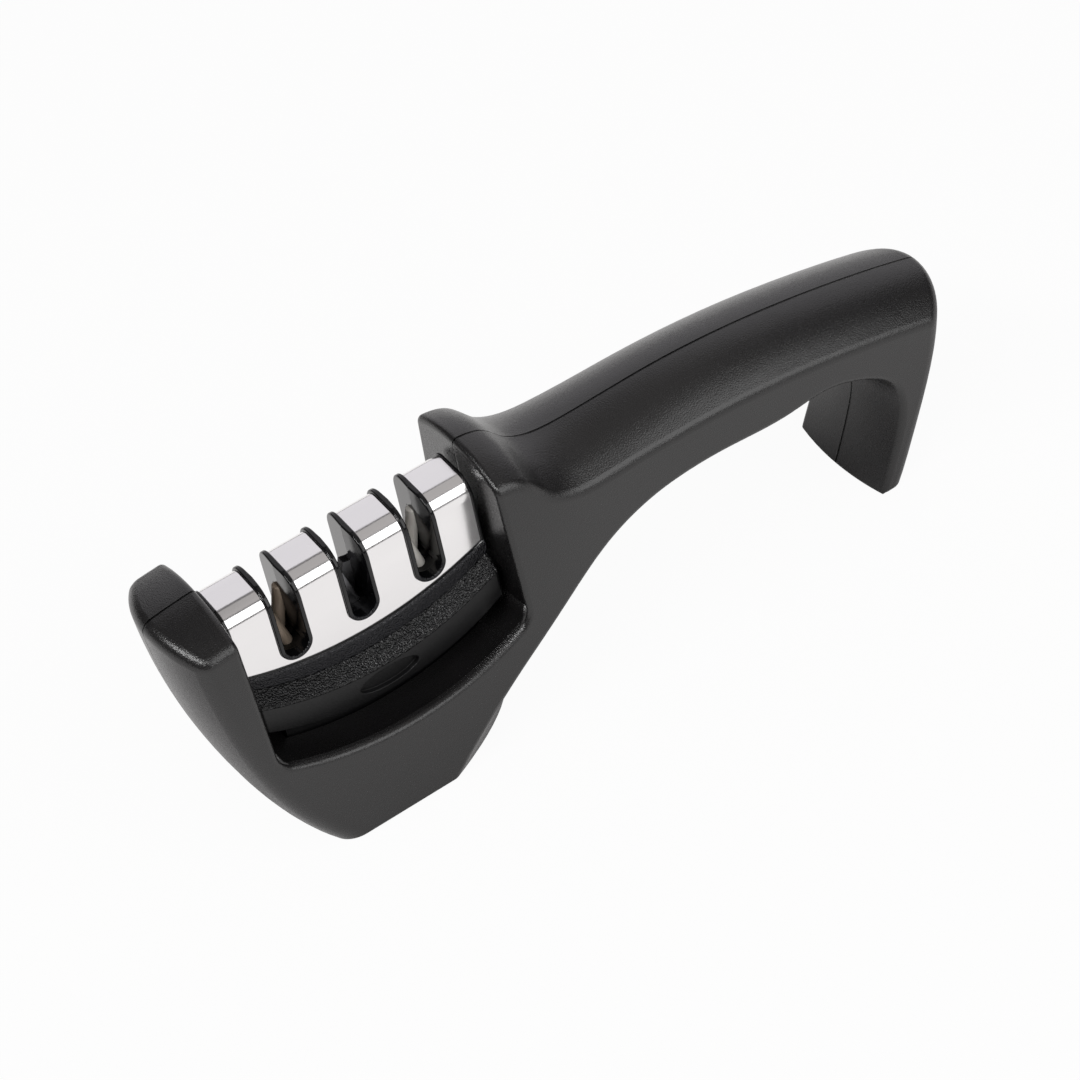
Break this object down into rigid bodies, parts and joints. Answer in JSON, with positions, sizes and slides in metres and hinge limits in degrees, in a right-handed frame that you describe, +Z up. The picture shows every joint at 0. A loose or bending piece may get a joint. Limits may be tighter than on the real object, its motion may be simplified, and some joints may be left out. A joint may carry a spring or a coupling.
{
  "type": "pull through knife sharpener",
  "caption": "Hand-held pull-through knife sharpener: a moulded casing with an arched grip and a lift-out slotted module holding crossed rods and blades under a chrome cover.",
  "frame": {"origin": "floor under the middle of the tool's length, on the middle plane", "axes": "+X from the nose to the end of the grip, +Z up, +Y to the far side"},
  "size_m": [0.2037, 0.0446, 0.0717],
  "materials": {
    "casing_plastic": "fine moulded grain",
    "pad_rubber": "matte",
    "plate_plastic": "matte",
    "base_plastic": "satin with a grained ledge",
    "core_plastic": "gloss",
    "cover_chrome": "polished",
    "screw_steel": "zinc plated",
    "diamond_grit": "grit coated, rough",
    "carbide": "ground",
    "white_ceramic": "matte"
  },
  "bodies": {
    "body": {"right_shell": "casing_plastic", "left_shell": "casing_plastic", "casing_screws": "screw_steel", "base_plate": "plate_plastic", "base_screws": "screw_steel", "base_pad": "pad_rubber", "leg_pad": "pad_rubber"},
    "module": {"module_base": "base_plastic", "module_screws": "screw_steel", "core_right": "core_plastic", "core_left": "core_plastic", "core_screws": "screw_steel", "cover": "cover_chrome", "diamond_rod_near": "diamond_grit", "diamond_rod_far": "diamond_grit", "carbide_blade_near": "carbide", "carbide_blade_far": "carbide", "ceramic_rod_near": "white_ceramic", "ceramic_rod_far": "white_ceramic"}
  },
  "joints": [
    {"name": "module_lift", "type": "slide", "parent": "body", "child": "module", "axis": [0, 0, 1], "range_m": [0, 0.05]}
  ]
}
